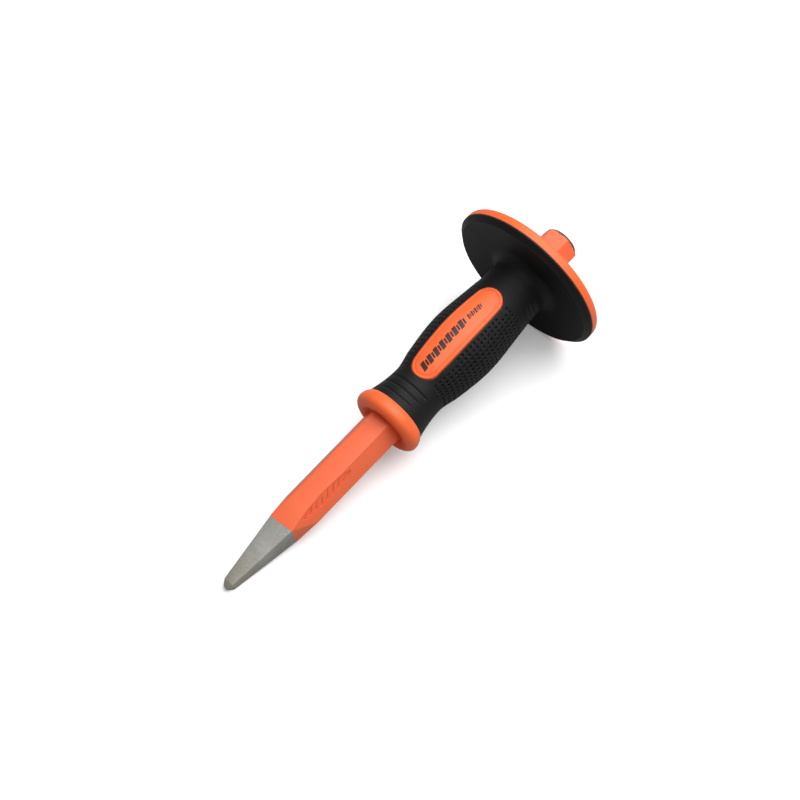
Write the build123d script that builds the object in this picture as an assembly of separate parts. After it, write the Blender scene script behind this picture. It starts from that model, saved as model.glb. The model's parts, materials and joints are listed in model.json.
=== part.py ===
"""Point chisel with a two-material hand-guard grip.

Three separate pieces, as on the real tool:

  chisel_bar      one steel forging: four-sided point, hexagonal shank, struck head
  grip_core       hard moulding: front collar, hidden sleeve, label pad, guard backing
  grip_overmould  soft rubber moulded over the core: grip and front of the guard

Everything is first built along the tool's own axis, with +X from the tip to the head and
+Z through the middle of the label pad. It is then laid down the way the tool lies on a
bench, on its point and on the rim of the guard, with the pad facing up.
"""
import os
from math import atan2, cos, degrees, pi, radians, sin

from build123d import *

# ---------------------------------------------------------------- driving dimensions, mm

# Steel bar
LENGTH = 254.0              # point to struck face
HEX_FLATS = 19.0            # across the flats of the shank
TIP_SIDE = 2.4              # the small square that the point ends in
BEVEL_LENGTH = 2.9          # steep last bevel of the point
BEVEL_SIDE = 5.8            # square at the back of that bevel
TAPER_END = 41.0            # where the four-sided taper ends
TAPER_STEP = 2.4            # how far its sides lie inside the flats there
BLEND_LENGTH = 13.5         # forged change from the square to the hexagon
HEAD_CHAMFER_LENGTH = 2.6   # turned chamfer of the struck head, along the bar
HEAD_CHAMFER_DEPTH = 2.5    # and across it, from the corners of the hexagon
NOTCH_LENGTH = 9.0          # two shallow notches that key the moulding to the bar
NOTCH_DEPTH = 0.8
NOTCH_INSET = 38.0          # from each end of the sleeve to the middle of its notch

# Place of the grip on the bar
HEAD_STANDOUT = 24.0        # struck face behind the guard
GRIP_LENGTH = 99.0          # from the collar to the front lip of the guard

# Hidden sleeve, and the thickness of the moulding over it
SLEEVE_WALL = 2.1           # over the corners of the hexagon
HUB_WALL = 3.43             # low hub round the head, behind the guard
HUB_HEIGHT = 1.4

# Front collar of the grip
COLLAR_LENGTH = 9.1
COLLAR_WALL = 6.53          # crest of the collar over the sleeve
COLLAR_BEAD = 4.0           # half the thickness of the rounded bead across the wall
DISH_DEPTH = 2.2            # how far the face round the bar lies behind the bead

# Guard
GUARD_RADIUS = 44.6
RUBBER_RIM = 3.2            # thickness of the rubber at the rim
RIM_BEVEL = 3.0             # width of the rubber's bevel, across the rim
RIM_LAND = 0.6              # straight edge of the rubber behind the bevel
BACKING_RIM = 5.3           # thickness of the hard backing at the rim
BACKING_ROUND = 2.6         # rounding of its rear edge
GUARD_DISH = 1.2            # hollow of the front face behind the lip

# Rubber grip: thickness over the sleeve, at distances from the back of the collar
ROOT_WALL = 4.53            # against the collar
NECK_AT, NECK_WALL = 18.0, 2.03
RISE_AT, RISE_WALL = 30.0, 4.38
BELLY_AT, BELLY_WALL = 52.0, 6.68
FALL_WALL = 4.68
FALL_LENGTH = 13.0          # last of the fall to the waist
WAIST_LENGTH = 9.0          # straight waist in front of the guard
WAIST_WALL = 3.58
FLARE_FILLET = 5.5          # fillet of the waist into the face of the guard

# Label pad
PAD_INSET = 18.5            # from its ends to the collar and to the lip of the guard
PAD_WIDTH = 17.6
PAD_END_WIDTH = 15.6        # width where the round ends begin
PAD_PROUD = 0.35            # above the rubber

# ------------------------------------------------------------------------ derived places

HEX_RADIUS = HEX_FLATS / 2 / cos(pi / 6)
TAPER_SIDE = HEX_FLATS - 2 * TAPER_STEP
BLEND_END = TAPER_END + BLEND_LENGTH

GUARD_BACK = LENGTH - HEAD_STANDOUT
GUARD_SPLIT = GUARD_BACK - BACKING_RIM
GUARD_FRONT = GUARD_SPLIT - RUBBER_RIM
FACE_X = GUARD_FRONT + GUARD_DISH
RIM_X = GUARD_SPLIT - RIM_LAND
COLLAR_END = GUARD_FRONT - GRIP_LENGTH
COLLAR_START = COLLAR_END - COLLAR_LENGTH

SLEEVE_RADIUS = HEX_RADIUS + SLEEVE_WALL
SLEEVE_END = GUARD_BACK + HUB_HEIGHT
HUB_RADIUS = SLEEVE_RADIUS + HUB_WALL
COLLAR_RADIUS = SLEEVE_RADIUS + COLLAR_WALL
ROOT_RADIUS = SLEEVE_RADIUS + ROOT_WALL
BELLY_RADIUS = SLEEVE_RADIUS + BELLY_WALL
WAIST_RADIUS = SLEEVE_RADIUS + WAIST_WALL

WAIST_AT = GRIP_LENGTH - WAIST_LENGTH
FALL_AT = WAIST_AT - FALL_LENGTH
PAD_FRONT = COLLAR_END + PAD_INSET
PAD_BACK = GUARD_FRONT - PAD_INSET

# Angle at which the tool lies on the back edge of its bevel and on the rim of the guard.
REST_X = BEVEL_LENGTH
REST_Z = BEVEL_SIDE / 2
REST_ANGLE = atan2(GUARD_RADIUS - REST_Z, RIM_X - REST_X)


# ---------------------------------------------------------------------------- chisel bar

def revolved(outline):
    """Turn a closed outline, drawn as distance along the bar and radius, into a solid."""
    face = Plane.XZ * make_face(outline)
    return revolve(face, axis=Axis.X)


def square(x, side):
    """The four corners of a square across the bar."""
    h = side / 2
    return [Vector(x, y, z) for y, z in ((h, h), (-h, h), (-h, -h), (h, -h))]


def hexagon(x):
    """The six corners of the bar, with flats facing up and down."""
    angles = [radians(60 * i) for i in range(6)]
    return [Vector(x, HEX_RADIUS * cos(a), HEX_RADIUS * sin(a)) for a in angles]


def facet(*corners):
    """One flat face through its corners."""
    return Face(Wire.make_polygon(corners, close=True))


def make_point():
    """Four-sided point and its forged change to the hexagon, closed at both ends."""
    tip = square(0, TIP_SIDE)
    bevel = square(BEVEL_LENGTH, BEVEL_SIDE)
    base = square(TAPER_END, TAPER_SIDE)
    shank = hexagon(BLEND_END)
    faces = [facet(*tip), facet(*shank)]
    for front, back in ((tip, bevel), (bevel, base)):
        for i in range(4):
            j = (i + 1) % 4
            faces.append(facet(front[i], front[j], back[j], back[i]))
    for upper, lower, side in ((1, 5, 0), (2, 4, 3)):
        top, bottom = (base[0], base[3]) if side == 0 else (base[1], base[2])
        faces.append(facet(top, bottom, shank[side]))
        faces.append(facet(top, shank[side], shank[upper]))
        faces.append(facet(bottom, shank[side], shank[lower]))
    faces.append(facet(base[0], base[1], shank[2], shank[1]))
    faces.append(facet(base[3], base[2], shank[4], shank[5]))
    return Solid(Shell(faces))


def make_shank():
    """Hexagonal bar from the point to the head, with the head turned to a chamfer."""
    profile = Face(Wire.make_polygon(hexagon(BLEND_END), close=True))
    bar = extrude(profile, amount=LENGTH - BLEND_END, dir=(1, 0, 0))
    outline = [
        (BLEND_END, 0),
        (BLEND_END, 2 * HEX_RADIUS),
        (LENGTH - HEAD_CHAMFER_LENGTH, 2 * HEX_RADIUS),
        (LENGTH - HEAD_CHAMFER_LENGTH, HEX_RADIUS),
        (LENGTH, HEX_RADIUS - HEAD_CHAMFER_DEPTH),
        (LENGTH, 0),
    ]
    return bar & revolved([Polyline(*outline, close=True)])


def make_notches():
    """Cutters for the two keying notches, each across the upper and the lower flat."""
    places = (COLLAR_END + NOTCH_INSET, GUARD_SPLIT - NOTCH_INSET)
    cutters = []
    for x in places:
        for side in (1, -1):
            z = side * (HEX_FLATS / 2 - NOTCH_DEPTH + HEX_RADIUS)
            cutters.append(Pos(x, 0, z) * Box(NOTCH_LENGTH, 4 * HEX_RADIUS, 2 * HEX_RADIUS))
    return cutters


def make_chisel_bar():
    """The whole forging, as one solid."""
    return make_point() + make_shank() - make_notches()


# ------------------------------------------------------------------------------ the grip

def grip_outline(proud=0.0):
    """Outside of the rubber from the collar to the face of the guard."""
    sleeve = SLEEVE_RADIUS + proud
    curve = Spline(
        (COLLAR_END, sleeve + ROOT_WALL),
        (COLLAR_END + NECK_AT, sleeve + NECK_WALL),
        (COLLAR_END + RISE_AT, sleeve + RISE_WALL),
        (COLLAR_END + BELLY_AT, sleeve + BELLY_WALL),
        (COLLAR_END + FALL_AT, sleeve + FALL_WALL),
        (COLLAR_END + WAIST_AT, sleeve + WAIST_WALL),
        tangents=((4, -1), (1, 0)),
    )
    flare_x = FACE_X - FLARE_FILLET
    waist = Line(curve @ 1, (flare_x, WAIST_RADIUS + proud))
    flare_centre = (flare_x, WAIST_RADIUS + FLARE_FILLET + proud)
    return [curve, waist, CenterArc(flare_centre, FLARE_FILLET, -90, 90)]


def make_grip_blank():
    """Outside of the whole grip and of the guard's rubber face, with no core in it."""
    rest = Polyline(
        (FACE_X, WAIST_RADIUS + FLARE_FILLET),
        (GUARD_FRONT, GUARD_RADIUS - RIM_BEVEL),
        (RIM_X, GUARD_RADIUS),
        (GUARD_SPLIT, GUARD_RADIUS),
        (GUARD_SPLIT, 0),
        (COLLAR_END, 0),
        (COLLAR_END, ROOT_RADIUS),
    )
    return revolved([*grip_outline(), rest])


def make_collar():
    """Rounded front collar with a dished face round the bar."""
    nose = (COLLAR_START, COLLAR_RADIUS - COLLAR_BEAD)
    crest = (COLLAR_START + COLLAR_BEAD, COLLAR_RADIUS)
    root = (COLLAR_END, ROOT_RADIUS)
    dish_edge = (COLLAR_START + DISH_DEPTH, HEX_RADIUS)
    front = CenterArc((crest[0], nose[1]), COLLAR_BEAD, 180, -90)
    rear = TangentArc(crest, root, tangent=(1, 0))
    back = Polyline(root, (COLLAR_END, 0), (dish_edge[0], 0), dish_edge)
    dish = TangentArc(nose, dish_edge, tangent=(0, -1))
    return revolved([front, rear, back, dish])


def make_backing():
    """Hard rear half of the guard, with a rounded edge and a low hub round the head."""
    edge_x = GUARD_BACK - BACKING_ROUND
    edge_r = GUARD_RADIUS - BACKING_ROUND
    front = Polyline(
        (GUARD_BACK, HUB_RADIUS),
        (SLEEVE_END, HUB_RADIUS - HUB_HEIGHT),
        (SLEEVE_END, 0),
        (GUARD_SPLIT, 0),
        (GUARD_SPLIT, GUARD_RADIUS),
        (edge_x, GUARD_RADIUS),
    )
    edge = CenterArc((edge_x, edge_r), BACKING_ROUND, 90, -90)
    back = Line((GUARD_BACK, edge_r), (GUARD_BACK, HUB_RADIUS))
    return revolved([front, edge, back])


def make_pad():
    """Label pad: a boss of the core that comes up through the rubber and follows it."""
    end = PAD_END_WIDTH / 2
    front = PAD_FRONT + end
    middle = (PAD_FRONT + PAD_BACK) / 2
    back = PAD_BACK - end
    side = PAD_WIDTH / 2
    outline = [
        ThreePointArc((front, end), (middle, side), (back, end)),
        ThreePointArc((back, end), (PAD_BACK, 0), (back, -end)),
        ThreePointArc((back, -end), (middle, -side), (front, -end)),
        ThreePointArc((front, -end), (PAD_FRONT, 0), (front, end)),
    ]
    column = extrude(make_face(outline), amount=2 * BELLY_RADIUS, dir=(0, 0, 1))
    below = Polyline(
        (FACE_X, WAIST_RADIUS + FLARE_FILLET + PAD_PROUD),
        (FACE_X, 0),
        (COLLAR_END, 0),
        (COLLAR_END, ROOT_RADIUS + PAD_PROUD),
    )
    return column & revolved([*grip_outline(PAD_PROUD), below])


def make_core_blank():
    """The hard moulding with no bore: all that the rubber is moulded round."""
    sleeve_length = GUARD_SPLIT - COLLAR_END
    middle = COLLAR_END + sleeve_length / 2
    sleeve = Pos(middle, 0, 0) * Rot(0, 90, 0) * Cylinder(SLEEVE_RADIUS, sleeve_length)
    return make_collar() + sleeve + make_backing() + make_pad()


# ------------------------------------------------------------------------ the whole tool

def laid_down(pieces):
    """Turn the pieces to the way the tool lies, standing on Z = 0 over the origin."""
    turned = [Rot(0, -degrees(REST_ANGLE), 0) * piece for piece in pieces]
    box = Compound(turned).bounding_box()
    lift = REST_Z * cos(REST_ANGLE) - REST_X * sin(REST_ANGLE)
    return [Pos(-box.center().X, 0, lift) * piece for piece in turned]


bar = make_chisel_bar()
core_blank = make_core_blank()
core = core_blank - bar
overmould = make_grip_blank() - core_blank
pieces = laid_down([bar, core, overmould])

os.makedirs("parts", exist_ok=True)
for name, piece in zip(("chisel_bar", "grip_core", "grip_overmould"), pieces):
    export_step(piece, "parts/" + name + ".step")
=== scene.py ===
"""Looks of the struck point chisel and its two-material grip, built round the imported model.

Every piece is modelled along the tool's own axis, with +X from the point to the struck head
and +Z through the middle of the label pad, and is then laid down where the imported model
lies. Lengths are in metres, written as millimetres times MM.
"""
import json
import logging
import math
from collections.abc import Callable
from dataclasses import dataclass
from enum import Enum

import bmesh
import bpy
from mathutils import Matrix, Vector


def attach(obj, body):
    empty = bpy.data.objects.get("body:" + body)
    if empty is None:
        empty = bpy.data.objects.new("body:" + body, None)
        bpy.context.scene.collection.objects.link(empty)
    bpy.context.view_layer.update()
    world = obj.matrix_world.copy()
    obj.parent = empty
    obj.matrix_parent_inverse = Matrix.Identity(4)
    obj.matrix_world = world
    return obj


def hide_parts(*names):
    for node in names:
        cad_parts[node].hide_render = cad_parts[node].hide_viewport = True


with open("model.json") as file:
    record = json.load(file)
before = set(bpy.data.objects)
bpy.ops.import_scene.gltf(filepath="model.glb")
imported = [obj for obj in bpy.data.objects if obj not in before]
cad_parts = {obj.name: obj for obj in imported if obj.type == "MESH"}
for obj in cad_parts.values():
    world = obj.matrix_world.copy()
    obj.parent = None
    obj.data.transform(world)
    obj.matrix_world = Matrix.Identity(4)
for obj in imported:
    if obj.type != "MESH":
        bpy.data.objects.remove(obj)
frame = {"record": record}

MM = 0.001
BORE_SHARE = 0.45  # bore that the hexagon is cut from, as a radius over the flats
LOG = logging.getLogger("point_chisel")

RING_ORDER = "ring_order"

Colour = tuple[float, float, float]
Place = tuple[float, float]


class Slot(Enum):
    """Material slots of the record."""

    BAR = "bar_paint"
    CORE = "core_plastic"
    RUBBER = "grip_rubber"


class Cut(Enum):
    """What a boolean modifier does with its tool."""

    TAKE_AWAY = "DIFFERENCE"
    ADD = "UNION"
    KEEP_COMMON = "INTERSECT"


# ------------------------------------------------------------------ shapes shared by pieces


@dataclass(frozen=True)
class Station:
    """One ring of a turned shape: its place along the axis, its radius and its edge."""

    x: float
    radius: float
    sharp: bool = False


def arc(centre: Place, radius: float, start: float, end: float, steps: int) -> list[Station]:
    """Stations along a circular arc of an outline.

    Args:
        centre: Centre of the arc, as place along the axis and distance from it.
        radius: Radius of the arc.
        start: Angle of its first point, in degrees from the axis.
        end: Angle of its last point.
        steps: Number of chords.

    Returns:
        The stations in order, both ends included.
    """
    stations = []
    for step in range(steps + 1):
        angle = math.radians(start + (end - start) * step / steps)
        x = centre[0] + radius * math.cos(angle)
        stations.append(Station(x, centre[1] + radius * math.sin(angle)))
    return stations


def spread(start: Station, end: Station, steps: int) -> list[Station]:
    """Evenly spaced stations between two others, neither of them included.

    Args:
        start: The station before the first one.
        end: The station after the last one.
        steps: Number of equal steps between the two.

    Returns:
        The stations in order.
    """
    between = []
    for step in range(1, steps):
        share = step / steps
        x = start.x + (end.x - start.x) * share
        between.append(Station(x, start.radius + (end.radius - start.radius) * share))
    return between


@dataclass(frozen=True)
class ToolSizes:
    """Sizes that more than one piece takes, all along or round the tool's axis."""

    length: float = 254.0 * MM
    hex_flats: float = 19.0 * MM
    sleeve_wall: float = 2.1 * MM
    head_standout: float = 24.0 * MM
    grip_length: float = 99.0 * MM
    backing_rim: float = 5.3 * MM
    rubber_rim: float = 3.2 * MM
    guard_radius: float = 44.6 * MM
    guard_dish: float = 1.2 * MM

    @property
    def hex_radius(self) -> float:
        """Corners of the hexagon, from the axis."""
        return self.hex_flats / 2 / math.cos(math.pi / 6)

    @property
    def sleeve_radius(self) -> float:
        """Outside of the hidden sleeve."""
        return self.hex_radius + self.sleeve_wall

    @property
    def guard_back(self) -> float:
        """Rear face of the guard."""
        return self.length - self.head_standout

    @property
    def guard_split(self) -> float:
        """Where the rubber of the guard meets its hard backing."""
        return self.guard_back - self.backing_rim

    @property
    def guard_front(self) -> float:
        """Front lip of the guard."""
        return self.guard_split - self.rubber_rim

    @property
    def collar_end(self) -> float:
        """Back of the front collar, where the rubber starts."""
        return self.guard_front - self.grip_length


SIZES = ToolSizes()


@dataclass(frozen=True)
class GripCurve:
    """Outside of the rubber along the hand, as its thickness over the sleeve."""

    root: Place = (0.0, 4.53 * MM)
    neck: Place = (18.0 * MM, 2.03 * MM)
    rise: Place = (30.0 * MM, 4.38 * MM)
    belly: Place = (52.0 * MM, 6.68 * MM)
    fall: Place = (77.0 * MM, 4.68 * MM)
    waist: Place = (90.0 * MM, 3.58 * MM)
    root_slope: float = -0.25

    def radius(self, x: float) -> float:
        """Radius of the rubber at a place along the tool.

        Args:
            x: Distance from the point of the tool.

        Returns:
            The radius there, by a smooth curve through the six measured thicknesses.
        """
        knots = (self.root, self.neck, self.rise, self.belly, self.fall, self.waist)
        along = x - SIZES.collar_end
        if along >= self.waist[0]:
            return SIZES.sleeve_radius + self.waist[1]
        slopes = [self.root_slope]
        for before, after in zip(knots, knots[2:]):
            slopes.append((after[1] - before[1]) / (after[0] - before[0]))
        slopes.append(0.0)
        index = sum(along >= knot[0] for knot in knots[1:-1])
        (x0, wall0), (x1, wall1) = knots[index], knots[index + 1]
        span = x1 - x0
        t = (along - x0) / span
        wall = (
            wall0 * (1 + 2 * t) * (1 - t) ** 2
            + slopes[index] * span * t * (1 - t) ** 2
            + wall1 * t * t * (3 - 2 * t)
            + slopes[index + 1] * span * t * t * (t - 1)
        )
        return SIZES.sleeve_radius + wall


GRIP = GripCurve()


@dataclass(frozen=True)
class PadOutline:
    """Outline of the label pad in plan: a stadium with slightly bulging sides."""

    inset: float = 18.5 * MM
    half_width: float = 8.8 * MM
    end_radius: float = 7.8 * MM
    side_points: int = 44
    end_points: int = 20

    @property
    def front(self) -> float:
        """Front end of the pad, from the point of the tool."""
        return SIZES.collar_end + self.inset

    @property
    def back(self) -> float:
        """Rear end of the pad."""
        return SIZES.guard_front - self.inset

    def clearance(self, x: float, y: float) -> float:
        """Distance of a place in plan from the pad's widest outline."""
        past_end = max(self.front + self.end_radius - x, x - self.back + self.end_radius, 0.0)
        return math.hypot(past_end, y) - self.half_width

    def points(self, share: float, margin: float = 0.0) -> list[Place]:
        """Points round the pad.

        Args:
            share: 1 for the outline itself, down to 0 for the line along its middle.
            margin: Extra width all round.

        Returns:
            Places along and across the tool, in order round the pad.
        """
        start = self.front + self.end_radius
        end = self.back - self.end_radius
        bulge = self.half_width - self.end_radius
        places = []
        for side, first, last in ((1, start, end), (-1, end, start)):
            for step in range(self.side_points):
                t = step / self.side_points
                reach = self.end_radius + bulge * (1 - (2 * t - 1) ** 2) + margin
                places.append((first + (last - first) * t, side * reach * share))
            for step in range(self.end_points):
                angle = math.pi * step / self.end_points
                reach = (self.end_radius + margin) * share
                along = last + side * reach * math.sin(angle)
                places.append((along, side * reach * math.cos(angle)))
        return places


PAD = PadOutline()


@dataclass(frozen=True)
class LaidDown:
    """How the tool lies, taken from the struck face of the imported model."""

    face: Vector
    axis: Vector

    @classmethod
    def from_record(cls, record: dict) -> "LaidDown":
        """Read the struck face's place and direction from the record."""
        mount = next(m for m in record["mounts"] if m["name"] == "struck_face")
        return cls(Vector(mount["pos_m"]), Vector(mount["axis"]).normalized())

    def matrix(self) -> Matrix:
        """From the tool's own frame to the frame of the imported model.

        Returns:
            The transform.
        """
        pitch = math.atan2(self.axis.z, self.axis.x)
        turn = Matrix.Rotation(-pitch, 4, "Y")
        return Matrix.Translation(self.face - self.axis * SIZES.length) @ turn


LAID = LaidDown.from_record(frame["record"])


# ---------------------------------------------------------------------- modelling by hand


def clear_selection() -> None:
    """Leave edit mode and select nothing."""
    if bpy.context.mode != "OBJECT":
        bpy.ops.object.mode_set(mode="OBJECT")
    bpy.ops.object.select_all(action="DESELECT")


def take_new(name: str) -> bpy.types.Object:
    """Name the primitive that was just added and put its place into its mesh.

    Args:
        name: Name of the piece and of its mesh.

    Returns:
        The primitive, at the origin and unscaled.
    """
    piece = bpy.context.object
    piece.name = name
    piece.data.name = name
    bpy.ops.object.transform_apply(location=True, rotation=True, scale=True)
    return piece


def edit(piece: bpy.types.Object) -> bmesh.types.BMesh:
    """Open a piece in edit mode, alone, and return its editable mesh.

    Args:
        piece: The piece to open.

    Returns:
        Its editable mesh.
    """
    clear_selection()
    piece.select_set(True)
    bpy.context.view_layer.objects.active = piece
    bpy.ops.object.mode_set(mode="EDIT")
    return bmesh.from_edit_mesh(piece.data)


def select_faces(piece: bpy.types.Object, wanted: Callable[[Vector], bool]) -> int:
    """Select the faces whose middle passes a test.

    Args:
        piece: A piece that is open in edit mode.
        wanted: Test on the middle of a face.

    Returns:
        The number of faces selected.
    """
    bpy.ops.mesh.select_mode(type="FACE")
    bpy.ops.mesh.select_all(action="DESELECT")
    mesh = bmesh.from_edit_mesh(piece.data)
    chosen = [face for face in mesh.faces if wanted(face.calc_center_median())]
    for face in chosen:
        face.select_set(True)
    bmesh.update_edit_mesh(piece.data)
    return len(chosen)


def close_up(piece: bpy.types.Object, join_within: float = 0.002 * MM) -> None:
    """Merge doubled points, point every face outwards and leave edit mode.

    Args:
        piece: The piece.
        join_within: Distance under which points are merged.
    """
    edit(piece)
    bpy.ops.mesh.select_mode(type="VERT")
    bpy.ops.mesh.select_all(action="SELECT")
    bpy.ops.mesh.remove_doubles(threshold=join_within)
    bpy.ops.mesh.select_all(action="SELECT")
    bpy.ops.mesh.normals_make_consistent(inside=False)
    clear_selection()
    for mark in [a for a in piece.data.attributes if a.name == RING_ORDER]:
        piece.data.attributes.remove(mark)


def finish_modifiers(piece: bpy.types.Object) -> None:
    """Apply every modifier of a piece, in order.

    Args:
        piece: The piece.
    """
    clear_selection()
    piece.select_set(True)
    bpy.context.view_layer.objects.active = piece
    for modifier in list(piece.modifiers):
        bpy.ops.object.modifier_apply(modifier=modifier.name)


def combine(piece: bpy.types.Object, tool: bpy.types.Object, cut: Cut) -> None:
    """Cut a piece with another solid, or join it on, and remove that solid.

    Args:
        piece: The piece that stays.
        tool: The solid that cuts it or joins it, gone afterwards.
        cut: What the tool does.
    """
    boolean = piece.modifiers.new(cut.name.lower(), "BOOLEAN")
    boolean.operation = cut.value
    boolean.solver = "EXACT"
    boolean.object = tool
    finish_modifiers(piece)
    bpy.data.objects.remove(tool)


def subdivide(piece: bpy.types.Object, levels: int) -> None:
    """Round a piece off with an applied subdivision surface.

    Args:
        piece: The piece.
        levels: Number of subdivisions.
    """
    surface = piece.modifiers.new("rounding", "SUBSURF")
    surface.levels = levels
    surface.render_levels = levels
    finish_modifiers(piece)


def smooth(piece: bpy.types.Object, angle: float) -> None:
    """Shade a piece smoothly, up to an angle in degrees between faces.

    Args:
        piece: The piece.
        angle: Largest angle that is still shaded smoothly.
    """
    clear_selection()
    piece.select_set(True)
    bpy.context.view_layer.objects.active = piece
    bpy.ops.object.shade_smooth_by_angle(angle=math.radians(angle))


def lay_down(piece: bpy.types.Object) -> None:
    """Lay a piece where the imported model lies, with its place in its mesh.

    Args:
        piece: The piece, modelled along the tool's own axis.
    """
    clear_selection()
    piece.select_set(True)
    bpy.context.view_layer.objects.active = piece
    piece.matrix_world = LAID.matrix()
    bpy.ops.object.transform_apply(location=True, rotation=True, scale=True)


class DrawnShape:
    """A shape drawn out ring by ring from one ring of edges."""

    def __init__(self, name: str, ring: list[Vector]) -> None:
        """Start with one open ring.

        Args:
            name: Name of the piece.
            ring: The places of its points, in order round the ring.
        """
        clear_selection()
        bpy.ops.mesh.primitive_circle_add(vertices=len(ring))
        self.piece = take_new(name)
        mesh = edit(self.piece)
        order = mesh.verts.layers.int.new(RING_ORDER)
        points = sorted(mesh.verts, key=lambda v: math.atan2(v.co.y, v.co.x))
        for index, vertex in enumerate(points):
            vertex[order] = index
        bpy.ops.mesh.select_mode(type="EDGE")
        bpy.ops.mesh.select_all(action="SELECT")
        self.place(ring)

    def place(self, ring: list[Vector]) -> None:
        """Move the selected ring's points to new places, in order round the ring.

        Args:
            ring: The new places.
        """
        mesh = bmesh.from_edit_mesh(self.piece.data)
        order = mesh.verts.layers.int[RING_ORDER]
        for vertex in mesh.verts:
            if vertex.select:
                vertex.co = ring[vertex[order]]
        bmesh.update_edit_mesh(self.piece.data)

    def draw_to(self, ring: list[Vector]) -> None:
        """Extrude the selected ring and place its points."""
        bpy.ops.mesh.extrude_edges_move()
        self.place(ring)

    def keep_sharp(self) -> None:
        """Keep the selected ring sharp under subdivision."""
        bpy.ops.transform.edge_crease(value=1.0)

    def cap(self) -> None:
        """Close the selected ring with one face, and keep the ring selected."""
        bpy.ops.mesh.edge_face_add()
        bpy.ops.mesh.select_mode(type="EDGE")


def circle(station: Station, sides: int) -> list[Vector]:
    """Points round the axis at a station, starting over the middle of the label pad.

    Args:
        station: Place along the axis and radius.
        sides: Number of points.

    Returns:
        The points in order.
    """
    ring = []
    for side in range(sides):
        angle = 2 * math.pi * side / sides
        across = Vector((0, math.sin(angle), math.cos(angle))) * station.radius
        ring.append(Vector((station.x, 0, 0)) + across)
    return ring


def turned_solid(name: str, sides: int, stations: list[Station]) -> bpy.types.Object:
    """A closed turned shape with a bore: the outline ends where it starts.

    Args:
        name: Name of the piece.
        sides: Number of points in each ring.
        stations: The outline, all the way round and without its first point again.

    Returns:
        The closed piece.
    """
    shape = DrawnShape(name, circle(stations[0], sides))
    if stations[0].sharp:
        shape.keep_sharp()
    for station in stations[1:]:
        shape.draw_to(circle(station, sides))
        if station.sharp:
            shape.keep_sharp()
    shape.draw_to(circle(stations[0], sides))
    close_up(shape.piece)
    return shape.piece


def plan_column(name: str, points: list[Place], low: float, high: float) -> bpy.types.Object:
    """A straight column over an outline in plan.

    Args:
        name: Name of the piece.
        points: The outline, as places along and across the tool.
        low: Height of its foot.
        high: Height of its top.

    Returns:
        The closed column.
    """
    shape = DrawnShape(name, [Vector((x, y, low)) for x, y in points])
    shape.cap()
    shape.draw_to([Vector((x, y, high)) for x, y in points])
    shape.cap()
    close_up(shape.piece)
    return shape.piece


# ------------------------------------------------------------------------ the steel bar


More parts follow.
